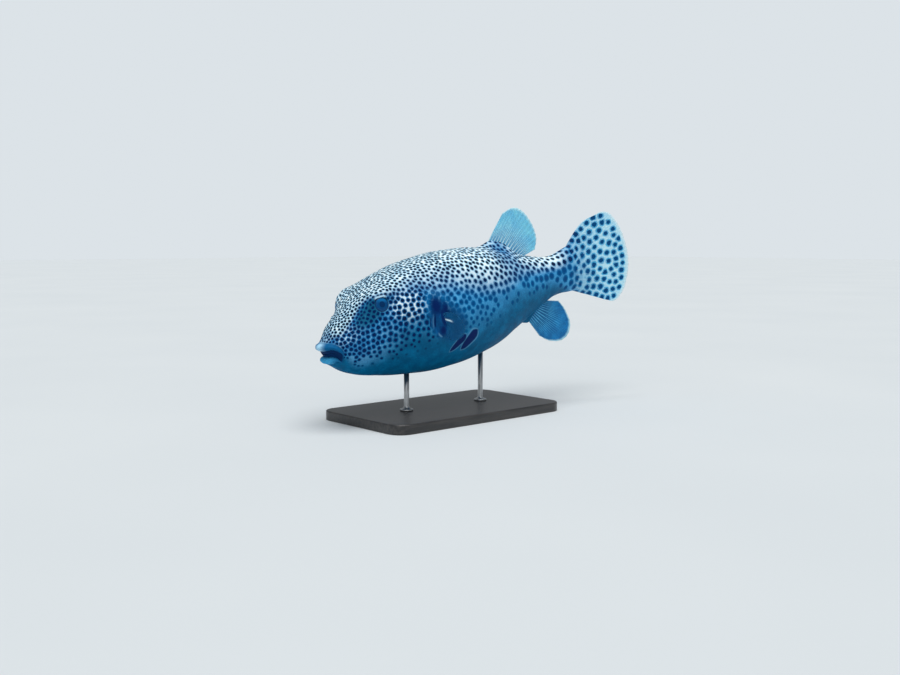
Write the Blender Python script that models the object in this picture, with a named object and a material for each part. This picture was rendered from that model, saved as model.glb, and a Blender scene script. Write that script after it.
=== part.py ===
"""Starry pufferfish, a still, life-size museum model on a plain stand.  Metres, +Z up.

The fish is modelled along a spine in its own frame: the snout at the origin, stations running
back towards the tail, heights measured from the spine.  An empty then tips it nose-down and
lifts it over the stand.  It faces -X, and its left side is towards -Y.
"""
import math

import bmesh
import bpy
import numpy as np
from mathutils import Vector

# ---- Driving dimensions of the fish -------------------------------------------------------
TAIL_BASE = 0.640              # station where the tail fin begins; the fin ends at 0.80
GAP = 0.0003                   # clearance between neighbouring solids
NOSE_DOWN = math.radians(11.6)
TAIL_SWING = math.radians(10.5)     # how far the tail is turned to the fish's left
SWING_FROM, SWING_TO = 0.24, 0.66   # the stations between which the spine bends

# Each outline is a smooth curve through (station, value).
BACK_LINE = ((0.024, 0.018), (0.042, 0.033), (0.075, 0.056), (0.110, 0.076), (0.150, 0.092),
             (0.205, 0.104), (0.270, 0.110), (0.340, 0.107), (0.410, 0.096), (0.470, 0.077),
             (0.530, 0.054), (0.590, 0.041), (0.640, 0.052))
BELLY_LINE = ((0.024, -0.030), (0.042, -0.048), (0.075, -0.067), (0.110, -0.079),
              (0.150, -0.090), (0.205, -0.101), (0.270, -0.109), (0.340, -0.109),
              (0.410, -0.098), (0.470, -0.080), (0.530, -0.059), (0.590, -0.042),
              (0.640, -0.044))
HALF_WIDTH = ((0.024, 0.020), (0.042, 0.033), (0.075, 0.049), (0.110, 0.064), (0.150, 0.079),
              (0.205, 0.092), (0.270, 0.098), (0.340, 0.095), (0.410, 0.085), (0.470, 0.068),
              (0.530, 0.048), (0.590, 0.031), (0.640, 0.020))
# Squareness of the upper half of a section: 2 is an ellipse, more gives a flat, boxy top.
CROWN_SQUARENESS = ((0.024, 2.0), (0.075, 2.1), (0.110, 2.7), (0.150, 2.7), (0.205, 2.4),
                    (0.340, 2.2), (0.530, 2.0), (0.640, 2.0))
FLANK_SQUARENESS = 2.15
WIDEST_HEIGHT = ((0.024, -0.008), (0.110, -0.006), (0.270, -0.010), (0.410, -0.010),
                 (0.530, 0.0), (0.640, 0.0))

NOSE = 0.024                   # station of the blunt front of the head, behind the lips
NECK_CUT = 0.2095              # the head ends just behind the gill slits
TAIL_CUT = 0.500               # the tail begins under the dorsal fin
RING_SEGMENTS = 32
# First and last station, number of rings and how much closer the rings lie at the front.
STRETCHES = {"head": (NOSE, NECK_CUT - GAP / 2, 18, 1.2),
             "trunk": (NECK_CUT + GAP / 2, TAIL_CUT - GAP / 2, 16, 1.0),
             "tail": (TAIL_CUT + GAP / 2, TAIL_BASE, 8, 1.0)}

# ---- Head ---------------------------------------------------------------------------------
BROW_STATION, BROW_ANGLE = 0.115, math.radians(43)
BROW_RISE, BROW_LENGTH, BROW_SPREAD = 0.0115, 0.021, math.radians(14)
SNOUT_DIP_STATION, SNOUT_DIP = 0.072, 0.0025

EYE_STATION, EYE_OUT, EYE_HEIGHT = 0.1195, 0.0530, 0.0530
EYE_RADIUS = 0.0165

# Each lip follows a bow seen from above: where its middle lies, the radius of the bow and how
# far round it the lip reaches, then the half height and half depth of the flesh.
UPPER_LIP = {"front": 0.0190, "height": 0.0020, "bow": 0.026, "turn": math.radians(76),
             "tall": 0.0068, "deep": 0.0095}
LOWER_LIP = {"front": 0.0245, "height": -0.0215, "bow": 0.020, "turn": math.radians(62),
             "tall": 0.0078, "deep": 0.0095}
MOUTH_DEPTH, MOUTH_HALF_WIDTH, MOUTH_HALF_HEIGHT, MOUTH_HEIGHT = 0.040, 0.022, 0.0070, -0.0095

TOOTH_ARC, TOOTH_THICK = 0.015, 0.0030
UPPER_TEETH = {"front": 0.0292, "gum": 0.0030, "edge": -0.0065}
LOWER_TEETH = {"front": 0.0348, "gum": -0.0210, "edge": -0.0125}

NOSTRIL_STATION, NOSTRIL_ANGLE = 0.066, math.radians(33)
NOSTRIL_LENGTH, NOSTRIL_RADIUS = 0.008, 0.0022

GILL_STATION, GILL_TOP, GILL_BOTTOM, GILL_DEPTH, GILL_WIDTH = 0.2048, 0.022, -0.020, 0.007, 0.0030

# ---- Fins ---------------------------------------------------------------------------------
FIN_EDGE = 0.0010              # thickness at the margin of every fin
# Each fin: ends of its root (inside the body), then its free margin from front to rear.
DORSAL_ROOT = ((0.424, 0.082), (0.515, 0.052))
DORSAL_MARGIN = ((0.4885, 0.1495), (0.511, 0.1555), (0.527, 0.153), (0.542, 0.141),
                 (0.554, 0.123), (0.562, 0.102), (0.564, 0.082), (0.557, 0.062))
ANAL_ROOT = ((0.506, -0.062), (0.548, -0.044))
ANAL_MARGIN = ((0.540, -0.119), (0.562, -0.134), (0.591, -0.1415), (0.6125, -0.134),
               (0.623, -0.113), (0.6185, -0.0905), (0.6105, -0.072), (0.600, -0.057))
CAUDAL_MARGIN = ((0.722, 0.102), (0.742, 0.106), (0.762, 0.0995), (0.778, 0.080), (0.791, 0.053),
                 (0.800, 0.012), (0.799, -0.022), (0.790, -0.050), (0.776, -0.074),
                 (0.750, -0.091), (0.722, -0.0825))
CAUDAL_BOW_TOP, CAUDAL_BOW_FOOT = 0.013, 0.0   # how far its outer rays bow outwards
PECTORAL_TOP = (0.2150, 0.013)  # station and height of the upper end of its root
PECTORAL_FOOT = (0.2195, -0.029)
PECTORAL_LENGTH = 0.052
PECTORAL_FAN, PECTORAL_DROOP = math.radians(34), math.radians(22)
PECTORAL_FLARE = math.radians(27)   # how far the fin stands off the flank
PECTORAL_SINK = 0.006

# ---- Stand --------------------------------------------------------------------------------
BASE_LENGTH, BASE_WIDTH, BASE_THICK, BASE_CORNER = 0.420, 0.240, 0.018, 0.030
BASE_CHAMFER = 0.002
BELLY_CLEARANCE = 0.070        # from the base up to the lowest point of the fish
BELLY_DROP = 0.0595            # how far that point lies under the snout, nose-down
BALANCE = (0.301, 0.003)       # balance point of the fish behind and beside its snout
ROD_RADIUS, ROD_FOOT_RADIUS, ROD_FOOT_THICK = 0.005, 0.0125, 0.005
ROD_OFFSETS = {"stand_rod_front": -0.095, "stand_rod_rear": 0.095}
ROD_BITE = 0.020               # how far a rod runs up past the lowest point before it is trimmed


def clear_scene():
    for item in list(bpy.data.objects):
        bpy.data.objects.remove(item, do_unlink=True)


def material(name, colour, roughness, metallic=0.0):
    made = bpy.data.materials.new(name)
    made.use_nodes = True
    shader = made.node_tree.nodes["Principled BSDF"]
    shader.inputs["Base Color"].default_value = (*colour, 1.0)
    shader.inputs["Roughness"].default_value = roughness
    shader.inputs["Metallic"].default_value = metallic
    return made


def through(points, at):
    """Value at a place along a smooth curve through (place, value) points."""
    places, values = np.array(points).T
    slopes = np.gradient(values, places)
    left = int(np.clip(np.searchsorted(places, at) - 1, 0, len(places) - 2))
    span = places[left + 1] - places[left]
    t = float(np.clip((at - places[left]) / span, 0.0, 1.0))
    rise = values[left + 1] - values[left]
    bend_in = slopes[left] * span - rise
    bend_out = rise - slopes[left + 1] * span
    return float(values[left] + t * rise + t * (1 - t) * ((1 - t) * bend_in + t * bend_out))


def along(points, t):
    """Point at 0..1 along a smooth open curve through a margin's points."""
    places = np.linspace(0.0, 1.0, len(points))
    return tuple(through(tuple(zip(places, axis)), t) for axis in zip(*points))


def heading(station):
    t = min(max((station - SWING_FROM) / (SWING_TO - SWING_FROM), 0.0), 1.0)
    return TAIL_SWING * t * t * (3 - 2 * t)


def spine_point(station, step=0.002):
    """Walk down the spine from the snout and return where a station lies, as (x, y)."""
    x, y, walked = 0.0, 0.0, 0.0
    while walked < station - 1e-9:
        stride = min(step, station - walked)
        turn = heading(walked + stride / 2)
        x += stride * math.cos(turn)
        y -= stride * math.sin(turn)
        walked += stride
    return x, y


def place(station, out, height):
    """Point in the fish's frame; out is sideways from the spine, positive to its right."""
    x, y = spine_point(station)
    turn = heading(station)
    return Vector((x + out * math.sin(turn), y + out * math.cos(turn), height))


def bump(distance, width):
    return math.exp(-0.5 * (distance / width) ** 2)


def section(station, angle):
    """Sideways offset and height of the skin at an angle round the section from the top."""
    half = through(HALF_WIDTH, station)
    middle = through(WIDEST_HEIGHT, station)
    upper = math.cos(angle) >= 0
    squareness = through(CROWN_SQUARENESS, station) if upper else FLANK_SQUARENESS
    reach = through(BACK_LINE, station) - middle if upper else middle - through(BELLY_LINE, station)
    power = 2 / squareness
    out = half * math.copysign(abs(math.sin(angle)) ** power, math.sin(angle))
    height = middle + reach * math.copysign(abs(math.cos(angle)) ** power, math.cos(angle))
    side = abs(math.remainder(angle, 2 * math.pi))
    brow = BROW_RISE * bump(station - BROW_STATION, BROW_LENGTH) * bump(side - BROW_ANGLE, BROW_SPREAD)
    dip = SNOUT_DIP * bump(station - SNOUT_DIP_STATION, 0.018) * bump(side, math.radians(50))
    swell = brow - dip
    return out + swell * math.sin(angle), height + swell * math.cos(angle)


def skin(station, angle):
    out, height = section(station, angle)
    return place(station, out, height)


def make_object(name, points, faces, finish, pose=None):
    mesh = bpy.data.meshes.new(name)
    mesh.from_pydata([tuple(point) for point in points], [], faces)
    work = bmesh.new()
    work.from_mesh(mesh)
    bmesh.ops.recalc_face_normals(work, faces=work.faces)
    work.to_mesh(mesh)
    work.free()
    mesh.shade_smooth()
    mesh.set_sharp_from_angle(angle=math.radians(40))
    made = bpy.data.objects.new(name, mesh)
    bpy.context.scene.collection.objects.link(made)
    made.data.materials.append(finish)
    made.parent = pose
    return made


def loft(rings):
    """Points and faces of a closed body drawn over rings of equal size, with flat ends."""
    size = len(rings[0])
    points = [point for ring in rings for point in ring]
    faces = [tuple(range(size)), tuple(range(len(points) - size, len(points)))]
    for row in range(len(rings) - 1):
        for column in range(size):
            after = (column + 1) % size
            low, high = row * size, (row + 1) * size
            faces.append((low + column, low + after, high + after, high + column))
    return points, faces


def grow(points, faces, distance):
    """Move every point of a closed body outwards along the normal there."""
    work = bmesh.new()
    corners = [work.verts.new(point) for point in points]
    for face in faces:
        work.faces.new([corners[index] for index in face])
    bmesh.ops.recalc_face_normals(work, faces=work.faces)
    work.normal_update()
    grown = [corner.co + corner.normal * distance for corner in corners]
    work.free()
    return grown


def cutter(name, points, faces, pose, clearance=0.0):
    """A hidden body used only to trim others, grown by the clearance they must keep."""
    if clearance:
        points = grow(points, faces, clearance)
    made = make_object(name, points, faces, CUTTER_FINISH, pose)
    made.hide_render = True
    made.display_type = "WIRE"
    return made


def trim(target, tool):
    cut = target.modifiers.new("trim_" + tool.name, "BOOLEAN")
    cut.operation = "DIFFERENCE"
    cut.solver = "EXACT"
    cut.object = tool


def ellipsoid(centre, reach, segments=16, rows=10):
    """Points and faces of an ellipsoid with its poles along the sideways axis."""
    points = [centre + Vector((0, -reach[1], 0))]
    for row in range(1, rows):
        latitude = math.pi * row / rows
        for column in range(segments):
            turn = 2 * math.pi * column / segments
            spread = math.sin(latitude)
            offset = (reach[0] * spread * math.cos(turn), -reach[1] * math.cos(latitude),
                      reach[2] * spread * math.sin(turn))
            points.append(centre + Vector(offset))
    points.append(centre + Vector((0, reach[1], 0)))
    last = len(points) - 1
    faces = []
    for column in range(segments):
        after = (column + 1) % segments
        faces.append((0, 1 + after, 1 + column))
        faces.append((last, last - segments + column, last - segments + after))
        for row in range(rows - 2):
            low, high = 1 + row * segments, 1 + (row + 1) * segments
            faces.append((low + column, low + after, high + after, high + column))
    return points, faces


# ---- Body: head, trunk and tail -----------------------------------------------------------
def body_stretch(first, last, count, ease):
    """Rings of skin between two stations, closer together at the front where ease is over 1."""
    rings = []
    for row in range(count + 1):
        station = first + (last - first) * (row / count) ** ease
        rings.append([skin(station, 2 * math.pi * column / RING_SEGMENTS)
                      for column in range(RING_SEGMENTS)])
    return loft(rings)


def build_body(pose):
    return [make_object(name, *body_stretch(*stretch), SKIN_FINISH, pose)
            for name, stretch in STRETCHES.items()]


def body_cutters(pose):
    """The same stretches of skin, grown by the clearance, to trim what meets the body."""
    return [cutter("guide_" + name, *body_stretch(*stretch), pose, 1.5 * GAP)
            for name, stretch in STRETCHES.items()]


def build_gills(head, pose):
    """An upright slit in each side of the head, deepest at its middle."""
    middle = (GILL_TOP + GILL_BOTTOM) / 2
    reach = (GILL_WIDTH / 2, GILL_DEPTH, (GILL_TOP - GILL_BOTTOM) / 2)
    for side, name in ((-1, "guide_gill_left"), (1, "guide_gill_right")):
        out = side * through(HALF_WIDTH, GILL_STATION)
        trim(head, cutter(name, *ellipsoid(place(GILL_STATION, out, middle), reach), pose))


# ---- Mouth --------------------------------------------------------------------------------
def lip_shape(lip, slices=16, segments=10):
    """A fleshy bow round the front of the mouth, thinner towards its two corners."""
    rings = []
    for row in range(slices + 1):
        bow = lip["turn"] * (2 * row / slices - 1)
        fullness = 0.50 + 0.50 * max(math.cos(bow / lip["turn"] * math.pi / 2), 0.0) ** 0.6
        middle = Vector((lip["front"] + lip["bow"] * (1 - math.cos(bow)),
                         lip["bow"] * math.sin(bow), lip["height"]))
        outward = Vector((-math.cos(bow), math.sin(bow), 0))
        ring = []
        for column in range(segments):
            turn = 2 * math.pi * column / segments
            ring.append(middle + outward * (lip["deep"] * fullness * math.cos(turn))
                        + Vector((0, 0, lip["tall"] * fullness * math.sin(turn))))
        rings.append(ring)
    return loft(rings)


def build_mouth(head, pose):
    for name, lip in (("upper_lip", UPPER_LIP), ("lower_lip", LOWER_LIP)):
        points, faces = lip_shape(lip)
        make_object(name, points, faces, LIP_FINISH, pose)
        trim(head, cutter("guide_" + name, points, faces, pose, 1.3 * GAP))
    reach = (MOUTH_DEPTH, MOUTH_HALF_WIDTH, MOUTH_HALF_HEIGHT)
    hollow = ellipsoid(Vector((NOSE, 0.0, MOUTH_HEIGHT)), reach)
    trim(head, cutter("guide_mouth", *hollow, pose))


def tooth_shape(teeth, slices=14):
    """A beak plate: a curved blade from the gum to its cutting edge, notched at the middle."""
    gum, edge = teeth["gum"], teeth["edge"]
    rings = []
    for row in range(slices + 1):
        bow = math.radians(62) * (2 * row / slices - 1)
        notch = 0.0012 * bump(bow, math.radians(5)) * math.copysign(1, gum - edge)
        ring = []
        for depth, height in ((0, gum), (-1, gum), (-1, edge), (-0.4, edge)):
            radius = TOOTH_ARC + TOOTH_THICK * depth
            lift = notch if height == edge else 0.0
            ring.append(Vector((teeth["front"] + TOOTH_ARC - radius * math.cos(bow),
                                radius * math.sin(bow), height + lift)))
        rings.append(ring)
    return loft(rings)


def build_teeth(head, pose):
    for name, teeth in (("teeth_upper", UPPER_TEETH), ("teeth_lower", LOWER_TEETH)):
        points, faces = tooth_shape(teeth)
        make_object(name, points, faces, TOOTH_FINISH, pose)
        trim(head, cutter("guide_" + name, points, faces, pose, 1.3 * GAP))


# ---- Eyes and nostrils --------------------------------------------------------------------
def build_eyes(head, pose):
    for side, name in ((-1, "eye_left"), (1, "eye_right")):
        centre = place(EYE_STATION, side * EYE_OUT, EYE_HEIGHT)
        points, faces = ellipsoid(centre, (EYE_RADIUS,) * 3, segments=16, rows=9)
        make_object(name, points, faces, EYE_FINISH, pose)
        trim(head, cutter("guide_" + name, points, faces, pose, 1.5 * GAP))


def build_nostrils(head, pose):
    """Each nostril is a short fleshy stalk, split at its tip into two flaps."""
    for side, name in ((-1, "nostril_left"), (1, "nostril_right")):
        foot = skin(NOSTRIL_STATION, side * NOSTRIL_ANGLE)
        inner = place(NOSTRIL_STATION, 0.0, 0.010)
        axis = (foot - inner).normalized()
        across = Vector((1, 0, 0))
        across = (across - axis * across.dot(axis)).normalized()
        aside = axis.cross(across)
        rings = []
        for height, radius in ((-0.45, 1.0), (0.0, 1.1), (0.35, 0.9), (0.7, 1.15), (1.0, 0.8)):
            middle = foot + axis * (NOSTRIL_LENGTH * height * 0.6)
            ring = []
            for column in range(10):
                turn = 2 * math.pi * column / 10
                pinch = 1 - 0.45 * max(height, 0) * abs(math.sin(turn)) ** 2
                ring.append(middle + across * (NOSTRIL_RADIUS * radius * math.cos(turn) * 1.25)
                            + aside * (NOSTRIL_RADIUS * radius * math.sin(turn) * pinch))
            rings.append(ring)
        points, faces = loft(rings)
        make_object(name, points, faces, LIP_FINISH, pose)
        trim(head, cutter("guide_" + name, points, faces, pose, 1.3 * GAP))


# ---- Fins ---------------------------------------------------------------------------------
def fin_shape(middle, thickness, rays=12, steps=7):
    """A closed blade about a surface given as middle(along the ray, from front to rear)."""
    grid = [[middle(row / steps, column / rays) for column in range(rays + 1)]
            for row in range(steps + 1)]
    points = []
    for side in (-1, 1):
        for row in range(steps + 1):
            for column in range(rays + 1):
                up = grid[min(row + 1, steps)][column] - grid[max(row - 1, 0)][column]
                rear = grid[row][min(column + 1, rays)] - grid[row][max(column - 1, 0)]
                normal = up.cross(rear).normalized()
                half = thickness(row / steps, column / rays) / 2
                points.append(grid[row][column] + normal * (side * half))
    layer = (steps + 1) * (rays + 1)
    faces = []
    for row in range(steps):
        for column in range(rays):
            corner = row * (rays + 1) + column
            quad = (corner, corner + 1, corner + rays + 2, corner + rays + 1)
            faces.append(quad)
            faces.append(tuple(index + layer for index in reversed(quad)))
    rim = [row * (rays + 1) for row in range(steps + 1)]
    rim += [steps * (rays + 1) + column for column in range(1, rays + 1)]
    rim += [row * (rays + 1) + rays for row in range(steps - 1, -1, -1)]
    rim += [column for column in range(rays - 1, 0, -1)]
    for index, corner in enumerate(rim):
        after = rim[(index + 1) % len(rim)]
        faces.append((corner, after, after + layer, corner + layer))
    return points, faces


def blade_thickness(root, fleshy):
    """Thickness over a fin: fleshy near the root, then thin to the margin and both edges."""
    def thickness(outward, rearward):
        flesh = max(1 - outward / fleshy, 0.0) ** 2
        rounding = math.sqrt(max(1 - (2 * rearward - 1) ** 2, 0.0))
        web = 0.0012 * (1 - outward)
        return FIN_EDGE + web + root * flesh * rounding
    return thickness


def median_fin(root, margin):
    """Surface of a fin on the fish's midline, its rays running straight from root to margin."""
    def middle(outward, rearward):
        start = [a + (b - a) * rearward for a, b in zip(*root)]
        end = along(margin, rearward)
        station, height = (s + (e - s) * outward for s, e in zip(start, end))
        return place(station, 0.0, height)
    return middle


def build_dorsal(guides, pose):
    fin = make_object("fin_dorsal", *fin_shape(median_fin(DORSAL_ROOT, DORSAL_MARGIN),
                                               blade_thickness(0.024, 0.75)), FIN_FINISH, pose)
    for guide in guides:
        trim(fin, guide)


def build_anal(guides, pose):
    fin = make_object("fin_anal", *fin_shape(median_fin(ANAL_ROOT, ANAL_MARGIN),
                                             blade_thickness(0.022, 0.62)), FIN_FINISH, pose)
    for guide in guides:
        trim(fin, guide)


def build_caudal(pose):
    """The tail fin starts as thick as the end of the tail and fans out to a thin margin."""
    top, bottom = through(BACK_LINE, TAIL_BASE), through(BELLY_LINE, TAIL_BASE)

    def middle(outward, downward):
        station, height = along(CAUDAL_MARGIN, downward)
        start = top + (bottom - top) * downward
        side = 1 - 2 * downward
        bow = CAUDAL_BOW_TOP if side > 0 else CAUDAL_BOW_FOOT
        bow *= math.sin(math.pi * outward) * side ** 3
        first = TAIL_BASE + GAP
        return place(first + (station - first) * outward, 0.0,
                     start + (height - start) * outward + bow)

    def thickness(outward, downward):
        flesh = max(1 - outward / 0.55, 0.0) ** 1.6
        rounding = math.sqrt(max(1 - (2 * downward - 1) ** 2, 0.0))
        width = 2 * through(HALF_WIDTH, TAIL_BASE) - FIN_EDGE
        return FIN_EDGE + 0.0012 * (1 - outward) + width * flesh * rounding

    make_object("fin_caudal", *fin_shape(middle, thickness, rays=18, steps=9), FIN_FINISH, pose)


def build_pectorals(guides, pose):
    """The fan-shaped side fins, swept back behind the gills and flared off the flank."""
    for side, name in ((-1, "fin_pectoral_left"), (1, "fin_pectoral_right")):
        def middle(outward, downward, side=side):
            station = PECTORAL_TOP[0] + (PECTORAL_FOOT[0] - PECTORAL_TOP[0]) * downward
            height = PECTORAL_TOP[1] + (PECTORAL_FOOT[1] - PECTORAL_TOP[1]) * downward
            out = through(HALF_WIDTH, station) - PECTORAL_SINK
            length = PECTORAL_LENGTH * (0.42 + 0.58 * abs(math.sin(math.pi * downward)) ** 0.7)
            fan = PECTORAL_FAN * (0.5 - downward) - PECTORAL_DROOP
            curl = PECTORAL_FLARE * (1 - 0.45 * outward)
            reach = length * outward
            return place(station + reach * math.cos(fan) * math.cos(curl),
                         side * (out + PECTORAL_SINK * outward + reach * math.sin(curl)),
                         height + reach * math.sin(fan))

        fin = make_object(name, *fin_shape(middle, blade_thickness(0.010, 0.45), rays=12, steps=7),
                          FIN_FINISH, pose)
        for guide in guides:
            trim(fin, guide)


# ---- Stand --------------------------------------------------------------------------------
def build_base():
    """A flat plate with rounded corners and a small chamfer round its top edge."""
    outline = []
    for sign_x, sign_y, start in ((1, 1, 0), (-1, 1, 90), (-1, -1, 180), (1, -1, 270)):
        for step in range(7):
            turn = math.radians(start + 15 * step)
            outline.append(((BASE_LENGTH / 2 - BASE_CORNER) * sign_x, math.cos(turn),
                            (BASE_WIDTH / 2 - BASE_CORNER) * sign_y, math.sin(turn)))
    rings = []
    for height, inset in ((0.0, 0.0), (BASE_THICK - BASE_CHAMFER, 0.0), (BASE_THICK, BASE_CHAMFER)):
        corner = BASE_CORNER - inset
        rings.append([Vector((x + corner * cos_turn, y + corner * sin_turn, height))
                      for x, cos_turn, y, sin_turn in outline])
    make_object("stand_base", *loft(rings), BASE_FINISH)


def build_rod(name, offset, guides):
    """A turned rod with a flat foot, cut at the top to the curve of the belly."""
    top = BASE_THICK + BELLY_CLEARANCE + ROD_BITE + abs(offset) * 0.15
    profile = ((ROD_FOOT_RADIUS, BASE_THICK + GAP),
               (ROD_FOOT_RADIUS, BASE_THICK + ROD_FOOT_THICK * 0.7),
               (ROD_FOOT_RADIUS * 0.8, BASE_THICK + ROD_FOOT_THICK),
               (ROD_RADIUS, BASE_THICK + ROD_FOOT_THICK * 1.3),
               (ROD_RADIUS, top))
    rings = [[Vector((offset + radius * math.cos(turn), radius * math.sin(turn), height))
              for turn in (2 * math.pi * column / 20 for column in range(20))]
             for radius, height in profile]
    rod = make_object(name, *loft(rings), ROD_FINISH)
    for guide in guides:
        trim(rod, guide)


clear_scene()
CUTTER_FINISH = material("guide", (0.8, 0.2, 0.2), 0.9)
SKIN_FINISH = material("skin", (0.42, 0.50, 0.52), 0.55)
LIP_FINISH = material("lip", (0.55, 0.60, 0.58), 0.50)
TOOTH_FINISH = material("tooth", (0.80, 0.76, 0.66), 0.30)
EYE_FINISH = material("eye", (0.03, 0.05, 0.09), 0.08)
FIN_FINISH = material("fin", (0.52, 0.62, 0.64), 0.50)
BASE_FINISH = material("base", (0.04, 0.04, 0.045), 0.45)
ROD_FINISH = material("rod", (0.60, 0.60, 0.60), 0.30, metallic=1.0)

fish_pose = bpy.data.objects.new("fish_pose", None)
bpy.context.scene.collection.objects.link(fish_pose)
fish_pose.location = (-BALANCE[0], BALANCE[1], BASE_THICK + BELLY_CLEARANCE + BELLY_DROP)
fish_pose.rotation_euler = (0.0, -NOSE_DOWN, 0.0)

fish_head = build_body(fish_pose)[0]
head_guide, trunk_guide, tail_guide = body_cutters(fish_pose)
build_gills(fish_head, fish_pose)
build_mouth(fish_head, fish_pose)
build_teeth(fish_head, fish_pose)
build_eyes(fish_head, fish_pose)
build_nostrils(fish_head, fish_pose)
build_dorsal((trunk_guide, tail_guide), fish_pose)
build_anal((tail_guide,), fish_pose)
build_caudal(fish_pose)
build_pectorals((head_guide, trunk_guide), fish_pose)
build_base()
for rod_name, rod_offset in ROD_OFFSETS.items():
    build_rod(rod_name, rod_offset, (head_guide, trunk_guide))
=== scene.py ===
"""Looks of the starry pufferfish on its stand.  Metres, +Z up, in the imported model's frame.

The fish faces -X and its left side is towards -Y.  Its skin is drawn along the fish's spine:
a station is the way back from the snout, "out" is sideways to the fish's right, and a height is
measured from the spine, before the fish is tipped nose-down over its stand.
"""
import math

import bmesh
import bpy
import numpy as np
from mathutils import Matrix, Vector, kdtree


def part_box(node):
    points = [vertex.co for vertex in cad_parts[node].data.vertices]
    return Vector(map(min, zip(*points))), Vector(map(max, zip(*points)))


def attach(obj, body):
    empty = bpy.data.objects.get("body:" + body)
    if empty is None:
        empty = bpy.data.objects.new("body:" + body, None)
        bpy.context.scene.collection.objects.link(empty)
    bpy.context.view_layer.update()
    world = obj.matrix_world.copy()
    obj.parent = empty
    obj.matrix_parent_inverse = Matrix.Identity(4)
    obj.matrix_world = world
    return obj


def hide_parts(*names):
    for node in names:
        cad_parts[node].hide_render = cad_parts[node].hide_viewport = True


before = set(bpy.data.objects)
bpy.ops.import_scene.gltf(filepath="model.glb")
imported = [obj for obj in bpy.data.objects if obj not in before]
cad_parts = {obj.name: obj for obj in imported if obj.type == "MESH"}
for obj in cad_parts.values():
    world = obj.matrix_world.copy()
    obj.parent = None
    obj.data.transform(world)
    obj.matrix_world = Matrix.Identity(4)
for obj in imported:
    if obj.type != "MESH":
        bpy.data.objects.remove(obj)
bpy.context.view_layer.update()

# ---- Skin ----
# One skin covers the whole fish, from inside the mouth over lips, head, trunk and tail to the
# margin of the tail fin.  It is tough and scaleless, set with fine prickles, and follows the
# same outlines as the solids under it.
nose_down = math.radians(11.6)
tail_swing = math.radians(10.5)
swing_from, swing_to = 0.24, 0.66
tail_base = 0.640

# Stations with the heights of back and belly over the spine, and half the width.
outline = np.array((
    (0.024, 0.018, -0.030, 0.020), (0.042, 0.033, -0.048, 0.033), (0.075, 0.056, -0.067, 0.049),
    (0.110, 0.076, -0.079, 0.064), (0.150, 0.092, -0.090, 0.079), (0.205, 0.104, -0.101, 0.092),
    (0.270, 0.110, -0.109, 0.098), (0.340, 0.107, -0.109, 0.095), (0.410, 0.096, -0.098, 0.085),
    (0.470, 0.077, -0.080, 0.068), (0.530, 0.054, -0.059, 0.048), (0.590, 0.041, -0.042, 0.031),
    (0.640, 0.052, -0.044, 0.020)))
back_line, belly_line, half_width = (outline[:, (0, column)] for column in (1, 2, 3))
crown_squareness = ((0.024, 2.0), (0.075, 2.1), (0.110, 2.7), (0.150, 2.7), (0.205, 2.4),
                    (0.340, 2.2), (0.530, 2.0), (0.640, 2.0))
flank_squareness = 2.15
widest_height = ((0.024, -0.008), (0.110, -0.006), (0.270, -0.010), (0.410, -0.010),
                 (0.530, 0.0), (0.640, 0.0))
columns = 520


def through(points, at):
    """Values at an array of places on a smooth curve through (place, value) points."""
    places, values = np.array(points).T
    slopes = np.gradient(values, places)
    left = np.clip(np.searchsorted(places, at) - 1, 0, len(places) - 2)
    span = places[left + 1] - places[left]
    t = np.clip((at - places[left]) / span, 0.0, 1.0)
    rise = values[left + 1] - values[left]
    bend_in = slopes[left] * span - rise
    bend_out = rise - slopes[left + 1] * span
    return values[left] + t * rise + t * (1 - t) * ((1 - t) * bend_in + t * bend_out)


def ease(value, low, high):
    """0 below low, 1 above high, and a smooth step between."""
    t = np.clip((value - low) / (high - low), 0.0, 1.0)
    return t * t * (3 - 2 * t)


def bump(distance, width):
    """1 at no distance, falling away on both sides over about a width."""
    return np.exp(-0.5 * (distance / width) ** 2)


def unit(vectors):
    """The same directions with a length of one."""
    return vectors / np.maximum(np.linalg.norm(vectors, axis=-1, keepdims=True), 1e-12)


spine_step = 0.0005
spine_walk = np.arange(0, 0.84, spine_step)
spine_turn = tail_swing * ease(spine_walk, swing_from, swing_to)
spine_x = np.concatenate(([0], np.cumsum(np.cos(spine_turn[:-1]) * spine_step)))
spine_y = np.concatenate(([0], -np.cumsum(np.sin(spine_turn[:-1]) * spine_step)))


def tip(points):
    """Tip points from the fish's own frame nose-down."""
    x, y, z = np.moveaxis(np.asarray(points, float), -1, 0)
    cos, sin = math.cos(nose_down), math.sin(nose_down)
    return np.stack([x * cos - z * sin, y, x * sin + z * cos], -1)


# The eyes lie on a straight stretch of the spine, so their middle gives the snout's place.
eye_station, eye_height = 0.1195, 0.0530
eye_middles = [np.array((low + high) / 2)
               for low, high in (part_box("eye_left"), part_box("eye_right"))]
snout = sum(eye_middles) / 2 - tip((eye_station, 0.0, eye_height))


def place(station, out, height):
    """World points of stations, sideways offsets and heights along the bent spine."""
    turn = np.interp(station, spine_walk, spine_turn)
    x = np.interp(station, spine_walk, spine_x) + out * np.sin(turn)
    y = np.interp(station, spine_walk, spine_y) + out * np.cos(turn)
    return tip(np.stack([x, y, height + 0 * x], -1)) + snout


brow_station, brow_long = 0.115, 0.021
brow_angle, brow_wide, brow_rise = math.radians(43), 0.244, 0.0115
dip_station, dip_long, dip_wide, dip_depth = 0.072, 0.018, 0.873, 0.0025


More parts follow.
